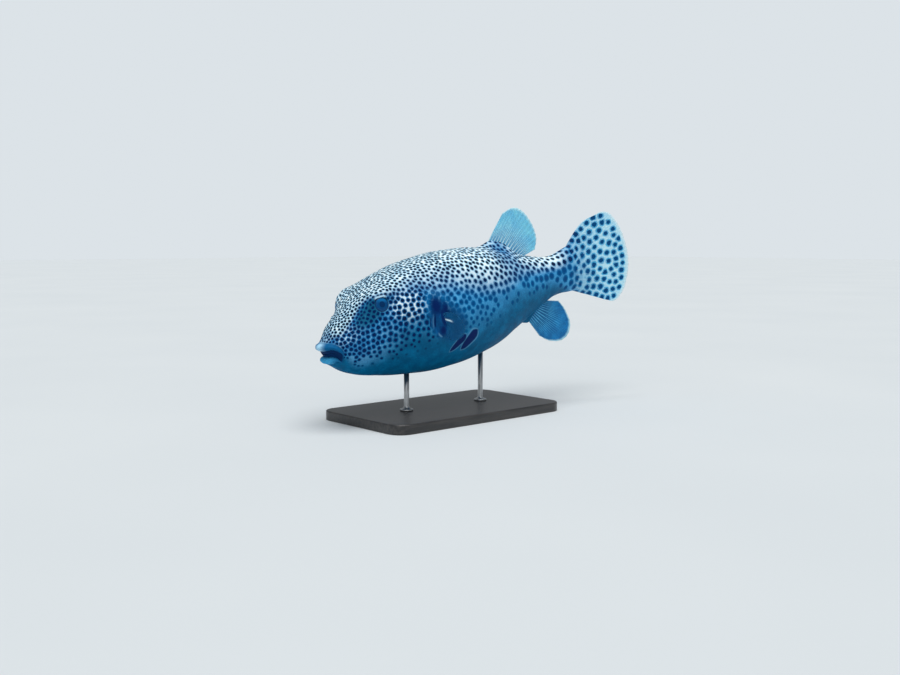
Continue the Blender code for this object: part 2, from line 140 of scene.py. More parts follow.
def section(station, angle):
    """Sideways offset and height of the skin round a section, from the top of the back."""
    half = through(half_width, station)
    middle = through(widest_height, station)
    upper = np.cos(angle) >= 0
    squareness = np.where(upper, through(crown_squareness, station), flank_squareness)
    reach = np.where(upper, through(back_line, station) - middle,
                     middle - through(belly_line, station))
    out = half * np.sign(np.sin(angle)) * np.abs(np.sin(angle)) ** (2 / squareness)
    height = middle + reach * np.sign(np.cos(angle)) * np.abs(np.cos(angle)) ** (2 / squareness)
    side = np.abs(np.remainder(angle + math.pi, 2 * math.pi) - math.pi)
    swell = brow_rise * bump(station - brow_station, brow_long)
    swell = swell * bump(side - brow_angle, brow_wide)
    swell = swell - dip_depth * bump(station - dip_station, dip_long) * bump(side, dip_wide)
    return out + swell * np.sin(angle), height + swell * np.cos(angle)


def even_ring(station):
    """A section with its points spread evenly round it, starting at the top of the back."""
    angles = np.linspace(0, 2 * math.pi, 1441)
    out, height = section(station, angles)
    run = np.concatenate(([0], np.cumsum(np.hypot(np.diff(out), np.diff(height)))))
    even = np.interp(np.linspace(0, run[-1], columns + 1)[:-1], run, angles)
    return section(station, even)


# Rings lie closest together over the eyes and the gill slits.
stretches = ((0.047, 0.150, 0.0007), (0.150, 0.192, 0.0012), (0.192, 0.228, 0.0008),
             (0.228, 0.420, 0.0015), (0.420, 0.560, 0.0013), (0.560, 0.6401, 0.0014))
stations = np.concatenate([np.arange(first, last - step / 2, step)
                           for first, last, step in stretches] + [[tail_base]])
body_out, body_height = np.array([even_ring(station) for station in stations]).transpose(1, 0, 2)

# A short fleshy lobe carries the dorsal fin, and a like one below carries the anal fin.
dorsal_lobe = ((0.410, 0.0), (0.425, 0.006), (0.441, 0.0150), (0.4625, 0.0182), (0.4795, 0.0165),
               (0.4915, 0.0105), (0.503, 0.0040), (0.520, 0.0010), (0.540, 0.0))
anal_lobe = ((0.478, 0.0), (0.494, 0.006), (0.506, 0.0145), (0.515, 0.0185), (0.524, 0.0135),
             (0.536, 0.0075), (0.552, 0.0020), (0.575, 0.0))
grid_station = stations[:, None] + 0 * body_out
on_back = (body_height > 0) * bump(body_out, 0.0090)
on_belly = (body_height < 0) * bump(body_out, 0.0075)
body_height = (body_height + on_back * np.clip(through(dorsal_lobe, grid_station), 0, 1)
               - on_belly * np.clip(through(anal_lobe, grid_station), 0, 1))
body_points = place(grid_station, body_out, body_height)

# The tail fin carries the rings on: each keeps its place down the fin's height while its
# sides draw together and fan out to the margin.
caudal_margin = ((0.722, 0.102), (0.742, 0.106), (0.762, 0.0995), (0.778, 0.080), (0.791, 0.053),
                 (0.800, 0.012), (0.799, -0.022), (0.790, -0.050), (0.776, -0.074),
                 (0.750, -0.091), (0.722, -0.0825))
caudal_rings, caudal_rays = 90, 11
caudal_scallop, caudal_bow, fin_edge = 0.0012, 0.013, 0.0010


def along(points, t):
    """Points along a smooth open curve through a margin's points, for an array of 0..1."""
    places = np.linspace(0.0, 1.0, len(points))
    return [through(tuple(zip(places, axis)), t) for axis in zip(*points)]


def ray_ridges(rays, outward, across):
    """Soft rays of a fin: each splits in two half way out and again near the margin."""
    first = np.abs(np.cos(math.pi * rays * across))
    second = np.abs(np.cos(math.pi * 2 * rays * across))
    third = np.abs(np.cos(math.pi * 4 * rays * across))
    split = ease(outward, 0.30, 0.55)
    split_again = ease(outward, 0.62, 0.88)
    ridge = first ** 6 * (1 - split) + second ** 5 * split * (1 - split_again)
    return ridge + third ** 4 * split_again


back_end, belly_end = through(back_line, tail_base), through(belly_line, tail_base)
caudal_outward = np.linspace(0, 1, caudal_rings + 1)[1:, None] + np.zeros(columns)
caudal_down = np.clip((back_end - body_height[-1]) / (back_end - belly_end), 0, 1)[None, :]
caudal_down = caudal_down + 0 * caudal_outward
margin_station, margin_height = along(caudal_margin, caudal_down)
scallop = caudal_scallop * np.abs(np.cos(math.pi * 2 * caudal_rays * caudal_down)) ** 2
start_height = back_end + (belly_end - back_end) * caudal_down
side = 1 - 2 * caudal_down
bow = np.where(side > 0, caudal_bow, 0.0) * np.sin(math.pi * caudal_outward) * side ** 3
caudal_station = tail_base + (margin_station + scallop - tail_base) * caudal_outward
caudal_height = start_height + (margin_height - start_height) * caudal_outward + bow
flesh = np.clip(1 - caudal_outward / 0.55, 0, 1) ** 1.6
caudal_ridge = ray_ridges(caudal_rays, caudal_outward, caudal_down)
thick = fin_edge / 2 + 0.0006 * (1 - caudal_outward) + 0.00035 * caudal_ridge * (1 - flesh)
caudal_out = (body_out[-1] * (flesh + 0 * caudal_outward)
              + np.sign(body_out[-1]) * thick * ease(caudal_outward, 0, 0.1))
caudal_points = place(caudal_station, caudal_out, caudal_height)

# The lips: the rings in front of the head narrow onto a loop round the mouth, roll over it
# and run back into the mouth.
upper_lip = {"front": 0.0190, "height": -0.0012, "bow": 0.026, "turn": math.radians(76)}
lower_lip = {"front": 0.0245, "height": -0.0258, "bow": 0.020, "turn": math.radians(62)}
lip_corner = np.array((0.0405, 0.0275, -0.0165))
mouth_middle = np.array((0.0450, 0.0, -0.0128))
muzzle_rings, roll_rings, lining_rings, slot_rings = 34, 26, 10, 4
roll_from, roll_to = math.radians(28), math.radians(166)
slot_deep, slot_gap = 0.010, 0.0004
fraction = np.arange(columns) / columns
quarter = 1 - np.abs(1 - (fraction * 4) % 2)      # 0 at the middle of a lip, 1 at a corner
right = np.where(fraction < 0.5, 1.0, -1.0)
is_upper = (fraction < 0.25) | (fraction > 0.75)
rounds = []
for lip in (upper_lip, lower_lip):
    turn = lip["turn"] * quarter
    rounds.append(np.stack([lip["front"] + lip["bow"] * (1 - np.cos(turn)),
                            lip["bow"] * np.sin(turn) * right, lip["height"] + 0 * turn], -1))
loop = np.where(is_upper[:, None], *rounds)
corner = lip_corner * np.stack([1 + 0 * right, right, 1 + 0 * right], -1)
merge = ease(quarter, 0.55, 1.0)[:, None]
loop = loop * (1 - merge) + corner * merge
loop[:, 2] -= np.where(is_upper, 0.0, 0.0120 * bump(quarter - 0.85, 0.09))
along_loop = unit(np.roll(loop, -1, 0) - np.roll(loop, 1, 0))
outward = unit(np.cross(along_loop, unit((loop - mouth_middle) * (1, 1, 0))))
forward = np.cross(outward, along_loop)
fullness = np.where(is_upper, 0.14 + 0.86 * np.cos(quarter * math.pi / 2) ** 0.8,
                    0.12 + 0.88 * (1 - ease(quarter, 0.56, 0.84)))
wrinkle = 1 + 0.035 * np.cos(quarter * 44 + 3 * np.sin(quarter * 9)) * ease(quarter, 0.0, 0.1)
lip_tall = np.where(is_upper, 0.0062, 0.0064) * fullness * wrinkle
lip_deep = 0.0090 * fullness * wrinkle


def lip_roll(turn):
    """Ring of the lips: 0 is where they leave the face, 90 degrees their front, 180 inside."""
    return (loop + outward * (lip_tall * math.cos(turn))[:, None]
            + forward * (lip_deep * math.sin(turn))[:, None])


face = np.stack([stations[0] + 0 * fraction, body_out[0], body_height[0]], -1)
face_next = np.stack([stations[2] + 0 * fraction, body_out[2], body_height[2]], -1)
start = lip_roll(roll_from)
reach = np.linalg.norm(face - start, axis=1)[:, None]
leave = unit(face - face_next) * reach * 0.9
arrive = unit(lip_roll(roll_from + 0.02) - start) * reach * 0.7
muzzle = [face * (2 * t**3 - 3 * t**2 + 1) + leave * (t**3 - 2 * t**2 + t)
          + start * (3 * t**2 - 2 * t**3) + arrive * (t**3 - t**2)
          for t in np.linspace(0, 1, muzzle_rings + 1)[1:]]
roll = [lip_roll(turn) for turn in np.linspace(roll_from, roll_to, roll_rings + 1)[1:]]
# Behind the lips the lining of the jaws closes the mouth, all but a narrow slot.  It stands
# for the gums and for the shade in the mouth's hollow, and is dark blue as painted shade.
facing = roll[-1][(columns // 2 - np.arange(columns)) % columns]
shut = (roll[-1] + facing) / 2 + forward * 0.0005 * fullness[:, None]
shut[:, 2] += np.where(is_upper, slot_gap, -slot_gap) * (1 - quarter)
slot_end = shut + np.stack([slot_deep * (1 - quarter), 0 * quarter, 0 * quarter], -1)
inside = [begin + (end - begin) * t for begin, end, rings in
          ((roll[-1], shut, lining_rings), (shut, slot_end, slot_rings))
          for t in np.linspace(0, 1, rings + 1)[1:]]
front_rings = np.array(inside[::-1] + roll[::-1] + muzzle[::-1])
front_points = tip(front_rings) + snout

points = np.concatenate([front_points, body_points, caudal_points])
rows = len(points)
ring_station = np.concatenate([front_rings[:, :, 0], grid_station, caudal_station])
ring_out = np.concatenate([front_rings[:, :, 1], body_out, caudal_out])
ring_height = np.concatenate([front_rings[:, :, 2], body_height, caudal_height])
down_round = 1 - np.abs(1 - 2 * fraction)[None, :] + np.zeros((rows, 1))   # 0 back, 1 belly
inside_rows, lips_end = len(inside), len(inside) + len(roll)
front_rows = len(front_rings)
tail_from = front_rows + len(stations)
row_index = np.arange(rows)[:, None] + np.zeros(columns, int)
in_mouth = 1 - ease(row_index, inside_rows - 3, inside_rows + 6)
on_lip = ease(row_index, 4, inside_rows) * (1 - ease(row_index, lips_end, lips_end + 9))
on_caudal = ease(row_index, tail_from - 1, tail_from + 6)
# The relief is raised along the skin's outward normals.
along_ring = np.roll(points, -1, 1) - np.roll(points, 1, 1)
normals = unit(np.cross(along_ring, np.gradient(points, axis=0)))
if np.sum(normals[front_rows + 90, :, 1] * right) < 0:
    normals = -normals

# Gill slits: an upright groove behind a raised flap, just in front of the side fins.
gill_station, gill_slant, gill_curve = 0.2060, 0.16, 0.0022
gill_top, gill_bottom = 0.018, -0.013
gill_middle, gill_half = (gill_top + gill_bottom) / 2, (gill_top - gill_bottom) / 2
gill_rise = (ring_height - gill_middle) / gill_half
from_slit = (ring_station - gill_station - gill_slant * (ring_height - gill_middle)
             - gill_curve * gill_rise ** 2)
gill_reach = 1 - ease(np.abs(gill_rise), 0.25, 1.20)
slit, flap, crease = (bump(from_slit + ahead, wide) * gill_reach for ahead, wide in
                      ((0.0, 0.0012), (0.0048, 0.0030), (0.0096, 0.0012)))
# Fleshy roots of the side fins.
root_station, root_height = 0.2172, -0.008
root = bump(ring_station - root_station - 0.10 * (root_height - ring_height), 0.0050)
root = root * (1 - ease(np.abs(ring_height - root_height), 0.014, 0.027))
on_trunk = (row_index >= front_rows) & (row_index < tail_from)
relief = 0.0009 * flap - 0.0026 * slit - 0.0007 * crease + 0.0030 * root
relief = relief * on_trunk * (ring_height < 0.06)
# Each nostril is a short fleshy stalk, split at its tip.
nostril_station, nostril_angle, nostril_size = 0.066, math.radians(33), 0.0017
nostril_out, nostril_height = section(np.array([nostril_station]), np.array([nostril_angle]))
nostril_along = ring_station - nostril_station
nostril_across = np.hypot(np.abs(ring_out) - nostril_out, ring_height - nostril_height)
nostril = bump(np.hypot(nostril_along / 1.2, nostril_across), nostril_size)
relief = relief + 0.0024 * nostril * (1 - 0.55 * bump(nostril_along, 0.0007))
# A ridge of skin runs from the snout back over each eye, with a hollow below it.
brow_line = ((0.02, 0.20), (0.06, 0.17), (0.078, 0.125), (0.100, 0.150), (0.115, 0.205),
             (0.132, 0.230), (0.16, 0.24), (0.85, 0.24))
from_brow = down_round - through(brow_line, ring_station)
brow_reach = (ease(ring_station, 0.066, 0.088) * (1 - ease(ring_station, 0.128, 0.158))
              * on_trunk)
relief = relief + brow_reach * (0.0018 * bump(from_brow + 0.012, 0.022)
                                - 0.0026 * bump(from_brow - 0.060, 0.045))
# Faint lumps of muscle and slack skin keep the sides from looking turned.
slack = (np.sin(ring_station * 61 + 2.2 * np.sin(down_round * 7))
         * np.sin(down_round * 11 + ring_station * 23 + 1.3 * right[None, :]))
relief = relief + 0.0007 * slack * ease(ring_station, 0.06, 0.12) * (1 - on_caudal)
points = points + normals * relief[:, :, None]

# Eye sockets: the skin dips under the eyeball and stands up round it as a fleshy rim, higher
# over the eye than under it.
eye_opening, eye_lift, lid_wall = 0.0124, 0.0074, 0.0008
socket_reach, socket_deep, lid_grip = 0.032, 0.012, 0.00055
eye_axes = []


def lid_line(lean):
    """Distance from the middle of an eye to its lids: flat along the top, round below."""
    return eye_opening * (1 + 0.13 * bump(lean - 0.66, 0.22) - 0.10 * ease(lean, 0.85, 1.0))


def round_eye(middle, axis):
    """The skin seen along an eye's axis: how far out it lies, its offset and distance from the
    axis, and its lean, which is 1 right above the eye and -1 right below."""
    offset = points - middle
    lift = offset @ axis
    flat = offset - lift[:, :, None] * axis
    away = np.linalg.norm(flat, axis=2)
    return lift, flat, away, (flat @ tip((0.0, 0.0, 1.0))) / np.maximum(away, 1e-9)


for side_sign, middle in zip((-1, 1), eye_middles):
    axis = unit(tip((-0.18, 0.92 * side_sign, 0.24)))
    eye_axes.append(axis)
    lift, flat, away, lean = round_eye(middle, axis)
    near = (away < socket_reach) & (lift > -socket_deep)
    # The points nearest the lid's edge move onto it, so that the edge is crisp.
    opening = lid_line(lean)
    aside = np.minimum(np.abs(away - opening), np.abs(away - opening - lid_wall))
    snap = near & (aside < lid_grip)
    target = np.where(away < opening + lid_wall / 2, opening, opening + lid_wall)
    flat = np.where(snap[:, :, None], flat * (target / np.maximum(away, 1e-9))[:, :, None], flat)
    away = np.where(snap, target, away)
    past = away - opening
    # The rim rises over the eye, with a soft roll and a fold beyond it, and a bag below.
    rim = (eye_lift + 0.0004 + 0.0012 * ease(lean, 0.1, 0.9)
           + 0.0016 * bump(past - 0.0018, 0.0012) * ease(lean, 0.0, 0.7)
           - 0.0007 * bump(past - 0.0050, 0.0012) * ease(lean, -0.2, 0.6)
           + 0.0006 * bump(past - 0.0034, 0.0009) * ease(-lean, 0.0, 0.7))
    under = eye_lift - 0.0040
    wall = ease(past, 0.0001, lid_wall)
    socket = under * (1 - wall) + rim * wall
    blend = 1 - ease(away, 0.0165, 0.0265)
    new_lift = np.where(near, lift * (1 - blend) + socket * blend, lift)
    points = np.where(near[:, :, None], middle + flat + new_lift[:, :, None] * axis, points)


def ring_faces(rings, sides):
    """Faces that join closed rings of points, each to the next."""
    return [(row + column, row + (column + 1) % sides, row + sides + (column + 1) % sides,
             row + sides + column)
            for row in range(0, (rings - 1) * sides, sides) for column in range(sides)]


def closed_skin():
    """Faces of the skin: its rings, a fan in the throat, and the tail fin's margin closed."""
    faces = ring_faces(rows, columns)
    throat, last, half = rows * columns, (rows - 1) * columns, columns // 2
    faces += [(column, (column + 1) % columns, throat) for column in range(columns)]
    faces += [(last + column, last + columns - column, last + columns - column - 1,
               last + column + 1) for column in range(1, half - 1)]
    faces += [(last, last + columns - 1, last + 1),
              (last + half - 1, last + half + 1, last + half)]
    return faces


def add_object(name, data):
    made = bpy.data.objects.new(name, data)
    bpy.context.scene.collection.objects.link(made)
    return made


def write_masks(piece, masks):
    """Stores named values at a piece's points, for its material to read."""
    for name, values in masks.items():
        layer = piece.data.attributes.new(name, "FLOAT", "POINT")
        layer.data.foreach_set("value", np.asarray(values, np.float32).ravel())


def mesh_piece(name, finish, vertices, faces, masks=None):
    """A smooth-shaded mesh piece that rides with the fish."""
    mesh = bpy.data.meshes.new(name)
    mesh.from_pydata([tuple(vertex) for vertex in vertices], [], faces)
    work = bmesh.new()
    work.from_mesh(mesh)
    bmesh.ops.recalc_face_normals(work, faces=work.faces)
    work.to_mesh(mesh)
    work.free()
    mesh.shade_smooth()
    mesh.materials.append(finish)
    made = add_object(name, mesh)
    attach(made, "root")
    write_masks(made, masks or {})
    return made


skin_finish = bpy.data.materials.new("puffer_skin")
throat_end = points[0].mean(0) + tip((0.002, 0, 0))
skin = mesh_piece("skin", skin_finish, [*points.reshape(-1, 3), throat_end], closed_skin())
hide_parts("head", "trunk", "tail", "upper_lip", "lower_lip", "fin_caudal",
            "nostril_left", "nostril_right")

# ---- Markings ----
# Dark round spots on a pale ground: tiny and crowded on the snout, wider apart along the
# flanks, large on the tail fin, and none on the belly.
rng = np.random.default_rng(7)
spot_samples, spot_closeness, evening_rounds = 120000, 0.85, 5


def tree_of(places):
    """A finder of the nearest of some places."""
    tree = kdtree.KDTree(len(places))
    for index, point in enumerate(places):
        tree.insert(point, index)
    tree.balance()
    return tree


def spread_spots(places, allowed, spacing, swell, rarity, fading):
    """1 at the middle of each spot, 0 at its edge, below 0 outside, for every place."""
    order = rng.permutation(allowed)[:spot_samples]
    finder = tree_of(places[order])
    free = np.ones(len(order), bool)
    seeds = []
    for turn, vertex in enumerate(order):
        if free[turn]:
            seeds.append(vertex)
            reach = spot_closeness * spacing[vertex]
            for _, other, _ in finder.find_range(places[vertex], reach):
                free[other] = False
    middles = places[seeds].copy()
    weight = 1 / spacing[order] ** 2
    for _ in range(evening_rounds):
        tree = tree_of(middles)
        owner = np.array([tree.find(places[vertex])[1] for vertex in order])
        total = np.maximum(np.bincount(owner, weight, len(middles)), 1e-9)
        for axis in range(3):
            moved = np.bincount(owner, weight * places[order][:, axis], len(middles))
            middles[:, axis] = moved / total
    seeds = order[[finder.find(point)[1] for point in middles]]
    middles = places[seeds]
    size = spacing[seeds] * rng.uniform(0.36, 0.46, len(seeds)) * swell[seeds]
    size *= 1 - 0.36 * fading[seeds]
    size[rng.random(len(seeds)) < 0.60 * fading[seeds] ** 2] = 1e-5
    tree = tree_of(middles)
    field = np.full(len(places), -1.0)
    for vertex in allowed:
        (_, index, first), (_, _, second) = tree.find_n(places[vertex], 2)
        net = (second - first) / spacing[vertex]
        field[vertex] = min(1 - (first + 2e-5) / size[index],
                            2.0 * (net - 0.26 * rarity[vertex]))
    return np.maximum(field, -1.0)


off_fin = 1 - on_caudal
spacing = through((
    (0.02, 0.0066), (0.06, 0.0070), (0.10, 0.0080), (0.15, 0.0087), (0.22, 0.0096),
    (0.34, 0.0109), (0.46, 0.0139), (0.60, 0.0162), (0.66, 0.0168), (0.85, 0.0168)), ring_station)
spacing = spacing * (0.80 + 0.38 * ease(down_round, 0.12, 0.46) * off_fin + 0.17 * on_caudal
                     - 0.08 * ease(ring_station, 0.18, 0.26)
                     * (1 - ease(down_round, 0.08, 0.22)) * off_fin)
# How far down the sides the spots reach.
last_spot = through((
    (0.020, 0.30), (0.038, 0.48), (0.050, 0.62), (0.088, 0.65), (0.121, 0.64), (0.139, 0.61),
    (0.160, 0.58), (0.190, 0.57), (0.224, 0.52), (0.258, 0.51), (0.300, 0.53), (0.341, 0.52),
    (0.400, 0.48), (0.437, 0.46), (0.505, 0.49), (0.581, 0.62), (0.620, 0.88), (0.650, 1.30),
    (0.850, 1.30)), ring_station)
spotted = 1 - ease(down_round, last_spot + 0.05, last_spot + 0.10)
fading = ease(down_round, last_spot - 0.12, last_spot + 0.08)
from_lips = np.linalg.norm(points - points[lips_end][None], axis=2)
from_lips = np.where(row_index < lips_end, 0, from_lips)
bare_band = 0.0075 - 0.0045 * quarter[None, :]
spotted = spotted * ease(from_lips, bare_band - 0.001, bare_band + 0.001)
bare = (row_index < lips_end + 2) | (spotted < 0.05)
for middle in eye_middles:
    bare |= np.linalg.norm(points - middle, axis=2) < eye_opening + 0.0030


def on_tail_fin(values):
    """Values over the tail fin's rings, and 0 on all the others."""
    return np.concatenate([np.zeros((tail_from, columns)), values])


def patch(station, length, down, tall):
    """1 over the middle of a round patch on both flanks, easing to 0 at its edge."""
    from_middle = np.hypot((ring_station - station) / length, (down_round - down) / tall)
    return ease(1 - from_middle, 0.0, 0.6)


bare |= on_tail_fin(np.maximum(
    ease(caudal_outward, 0.945, 0.965), ease(np.abs(caudal_down - 0.5), 0.480, 0.492)
    * ease(caudal_outward, 0.3, 0.5))) > 0.5
fine_share = (1 - ease(down_round, 0.16, 0.30)) * off_fin
# The cheek behind the eye, and the side of the snout, are paler between the spots.
cheek_light = np.maximum(patch(0.163, 0.042, 0.360, 0.138),
                         0.5 * patch(0.052, 0.030, 0.330, 0.150))
# On the tail fin the spots are drawn out along the rays.
tail_way = place(0.80, 0.0, 0.0) - place(0.70, 0.0, 0.0)
drawn_out = np.maximum(ring_station - 0.665, 0.0)[:, :, None] * tail_way / 0.10 * 0.20
# The tail fin is so thin that each spot shows on both of its faces.
other_face = points[:, -np.arange(columns) % columns]
through_fin = (other_face - points) / 2 * ease(ring_station, 0.630, 0.690)[:, :, None]
swell = (1.03 - 0.18 * on_caudal - 0.05 * cheek_light
         + 0.10 * (1 - ease(ring_station, 0.05, 0.09))
         + fine_share * through(((0.10, 0.08), (0.25, 0.02), (0.34, -0.02), (0.60, -0.08)),
                                ring_station)
         - (0.11 * ease(ring_station, 0.20, 0.30) + 0.12 * ease(ring_station, 0.48, 0.58))
         * off_fin * ease(down_round, 0.22, 0.36))
rarity = 0.85 + 0.20 * on_caudal - 0.25 * fine_share
spot_field = spread_spots((points + through_fin - drawn_out).reshape(-1, 3),
                          np.flatnonzero(~bare.ravel()),
                          *(values.ravel() for values in (spacing, swell, rarity, fading)))
spot_field = spot_field.reshape(rows, columns)
beside = sum(np.roll(spot_field, step, way) for way in (0, 1) for step in (1, -1))
spot_field = 0.64 * spot_field + 0.09 * beside


# Dark blotches frame the gill slit and the root of the side fin, and two slanting dark bars
# with pale edges lie below and behind it.
def mark(station, height, length, tall, lean=0.0, pointed=False):
    """1 at the middle of a mark on both flanks, 0 at its edge and below 0 beyond."""
    along_mark = ring_station - station
    up_mark = ring_height - height
    turned = (along_mark * math.cos(lean) + up_mark * math.sin(lean)) / length
    crossed = (up_mark * math.cos(lean) - along_mark * math.sin(lean)) / tall
    if pointed:
        return 1 - np.abs(crossed) * (1 - 0.3 * turned) - turned ** 4
    return 1 - np.hypot(turned, crossed)


bars = np.maximum(mark(0.2545, -0.0505, 0.0225, 0.0068, math.radians(33), True),
                  mark(0.2825, -0.0512, 0.0248, 0.0096, math.radians(37), True))
foot_station, foot_height = 0.2185, -0.0160
foot_blotch = mark(foot_station, foot_height, 0.0090, 0.0110)
blotches = np.maximum.reduce([foot_blotch, mark(0.2150, 0.0290, 0.0150, 0.0215),
                              0.8 * mark(0.2330, 0.0210, 0.0105, 0.0175)])
lines = np.maximum(2.2 * slit - 1.2, 1.5 * crease * ease(ring_height, -0.016, -0.004) - 1.1)
side_of_body = on_trunk & (np.abs(ring_out) > 0.03)
between = 0.43 * ease(mark(0.2265, 0.0060, 0.0120, 0.0260), 0.0, 0.5) - 0.25
dark = np.where(side_of_body, np.maximum.reduce([bars, 0.32 * blotches, lines, between]), -1.0)
# Pale edges round the bars and along the gill flap, and a painted glint: a pale arc at the lower
# front of the blotch at the side fin's foot.
pale_edge_and_glint = np.where(side_of_body, np.maximum.reduce([
    0.55 * bump(bars + 0.12, 0.10),
    0.30 * bump(from_slit + 0.0046, 0.0010) * gill_reach * ease(ring_height, -0.014, -0.004),
    0.9 * bump(foot_blotch + 0.06, 0.08) * ease(foot_station - ring_station, 0.001, 0.006)
    * ease(foot_height - ring_height, 0.001, 0.006)]), 0.0)
# Painted shade in dark blue: round the gill and fin root, and in front of and below the eye.
gill_shade = np.where(side_of_body, np.maximum(
    ease(mark(0.2170, 0.0060, 0.0260, 0.0460), 0.0, 0.40),
    0.85 * ease(mark(0.2440, -0.0110, 0.0420, 0.0400), 0.0, 0.45)), 0.0)
eye_shade = 0.9 * patch(0.098, 0.040, 0.285, 0.135) * ease(from_brow, 0.004, 0.040)
eye_shade = eye_shade * np.where(right > 0, ease(down_round, 0.27, 0.36), 1.0)
# The pale crown, whitened further by painted light from above, ends along a soft wavering
# line.  Painted shade darkens the back in two places, at the foot of the dorsal fin and below
# its lobe.
crown_line = through((
    (0.020, 0.16), (0.035, 0.24), (0.044, 0.270), (0.060, 0.235), (0.078, 0.180), (0.096, 0.158),
    (0.106, 0.188), (0.116, 0.222), (0.132, 0.238), (0.150, 0.240), (0.188, 0.220),
    (0.230, 0.245), (0.270, 0.265), (0.315, 0.310), (0.373, 0.340), (0.430, 0.330),
    (0.470, 0.290), (0.546, 0.275), (0.600, 0.290), (0.850, 0.290)), ring_station)
crown_line = crown_line + 0.08 * bump(ring_station - 0.098, 0.026) * (right > 0)
crown_soft = 0.034 + 0.095 * ease(ring_station, 0.12, 0.24)
pale_lit_crown = 1 - ease(down_round, crown_line - crown_soft, crown_line + crown_soft)
pale_lit_crown = pale_lit_crown * (1 - ease(ring_station, 0.590, 0.640))
for share, station, long, down, tall in ((0.95, 0.458, 0.022, 0.07, 0.085),
                                         (0.68, 0.450, 0.030, 0.24, 0.12)):
    # Painted shade at the foot of the dorsal fin and below its lobe.
    fin_foot_shade = share * bump(ring_station - station, long) * bump(down_round - down, tall)
    pale_lit_crown = pale_lit_crown * (1 - fin_foot_shade)
pale_lit_crown = pale_lit_crown * (0.45 + 0.55 * ease(ring_station, 0.026, 0.044))
# A painted highlight along the upper lid, where light catches its rim, and painted blue shade
# in the socket round the eye.
lid_highlight = np.zeros((rows, columns))
for middle, axis in zip(eye_middles, eye_axes):
    _, _, away, lean = round_eye(middle, axis)
    close = np.linalg.norm(points - middle, axis=2) < 0.024
    past = away - lid_line(lean)
    lid_highlight = np.maximum(lid_highlight, close * bump(past - 0.0018, 0.0013)
                           * ease(lean, 0.60, 0.84))
    eye_shade = np.maximum(eye_shade, close * (1 - ease(past, 0.0004, 0.0016)))

# Near the cheek the belly's painted shade reaches higher.
darker_cheek = 0.13 * bump(ring_station - 0.160, 0.038)
# The lips are pale towards their fronts; on the upper lip the pale front is partly a painted
# highlight.
pale_lip = np.where(is_upper, 1 - ease(quarter, 0.0, 0.38), 1 - ease(quarter, 0.45, 0.85))
skin_masks = dict(
    spot=spot_field, spotted=spotted * (1 - ease(dark, -0.25, 0.0)) * (1 - gill_shade),
    shaded_belly=ease(down_round + darker_cheek, last_spot - 0.12, last_spot + 0.16),
    pale_lit_crown=pale_lit_crown, gill_shade=gill_shade, eye_shade=eye_shade, cheek=cheek_light, dark=dark, pale_edge_and_glint=pale_edge_and_glint,
    faint=ease(ring_station, 0.20, 0.30) * ease(down_round - crown_line, -0.02, 0.12),
    lit_lid=lid_highlight, lip=on_lip * pale_lip,
    lip_band=1 - ease(from_lips, bare_band - 0.002, bare_band + 0.001),
    mouth_shade=in_mouth, tailfin=ease(ring_station, 0.605, 0.735),
    margin=on_tail_fin(ease(caudal_outward, 0.955, 0.985)), ray=on_tail_fin(caudal_ridge))
in_throat = {"spot": -1.0, "dark": -1.0, "mouth_shade": 1.0}
write_masks(skin, {name: np.append(values.ravel(), in_throat.get(name, 0.0))
                   for name, values in skin_masks.items()})


# The colours are mixed in one material: spots over a pale ground that pales between them.
def colour(red, green, blue):
    """A surface colour from its 0..255 swatch values."""
    values = []
    for level in (red, green, blue):
        level /= 255
        values.append(level / 12.92 if level < 0.04045 else ((level + 0.055) / 1.055) ** 2.4)
    return (*values, 1.0)


class Mixer:
    """Adds and joins the nodes of one material or node group.  A value is the output of a
    node, the name of a mask, a number, or in a blend a colour's swatch values."""

    def __init__(self, tree):
        self.tree = tree

    def node(self, kind, output=0, settings=(), **sockets):
        made = self.tree.nodes.new("ShaderNode" + kind)
        for key, value in settings:
            setattr(made, key, value)
        self.feed(made, **sockets)
        return made.outputs[output]

    def feed(self, made, **sockets):
        """Joins or sets a node's sockets, by name or as i and a number."""
        for key, value in sockets.items():
            socket = made.inputs[int(key[1:]) if key[1:].isdigit() else key.replace("_", " ")]
            if isinstance(value, str):
                value = self.node("Attribute", 2, (("attribute_name", value),))
            if isinstance(value, bpy.types.NodeSocket):
                self.tree.links.new(value, socket)
            else:
                socket.default_value = value

    def math(self, operation, first, second=0.0):
        return self.node("Math", 0, (("operation", operation),), i0=first, i1=second)

    def times(self, first, second):
        return self.math("MULTIPLY", first, second)

    def less(self, first, second):
        return self.math("SUBTRACT", first, second)

    def vary(self, least, value, share):
        """least + value * share"""
        return self.math("ADD", least, self.times(value, share))

    def step(self, value, low, high):
        return self.node("MapRange", 0, (("interpolation_type", "SMOOTHSTEP"),),
                         Value=value, From_Min=low, From_Max=high)

    def blend(self, share, first, second, way="MIX"):
        made = self.tree.nodes.new("ShaderNodeMix")
        made.data_type, made.blend_type = "RGBA", way
        first, second = (colour(*value) if isinstance(value, tuple) else value
                         for value in (first, second))
        self.feed(made, i0=share, i6=first, i7=second)
        return made.outputs[2]

    def lay(self, under, *layers):
        """Colours laid one over another, each as (share, colour)."""
        for share, over in layers:
            under = self.blend(share, under, over)
        return under

    def noise(self, scale, detail=2.0, stretch=None):
        where = self.node("TexCoord", 3)
        if stretch:
            where = self.node("Mapping", Vector=where, Scale=stretch)
        return self.node("TexNoise", Vector=where, Scale=scale, Detail=detail)

    def bump(self, height, strength, distance):
        return self.node("Bump", Height=height, Strength=strength, Distance=distance)


def start_finish(name):
    """The material of a name, new if there is none yet, with its mixer and its shader."""
    finish = bpy.data.materials.get(name) or bpy.data.materials.new(name)
    finish.use_nodes = True
    return finish, Mixer(finish.node_tree), finish.node_tree.nodes["Principled BSDF"]


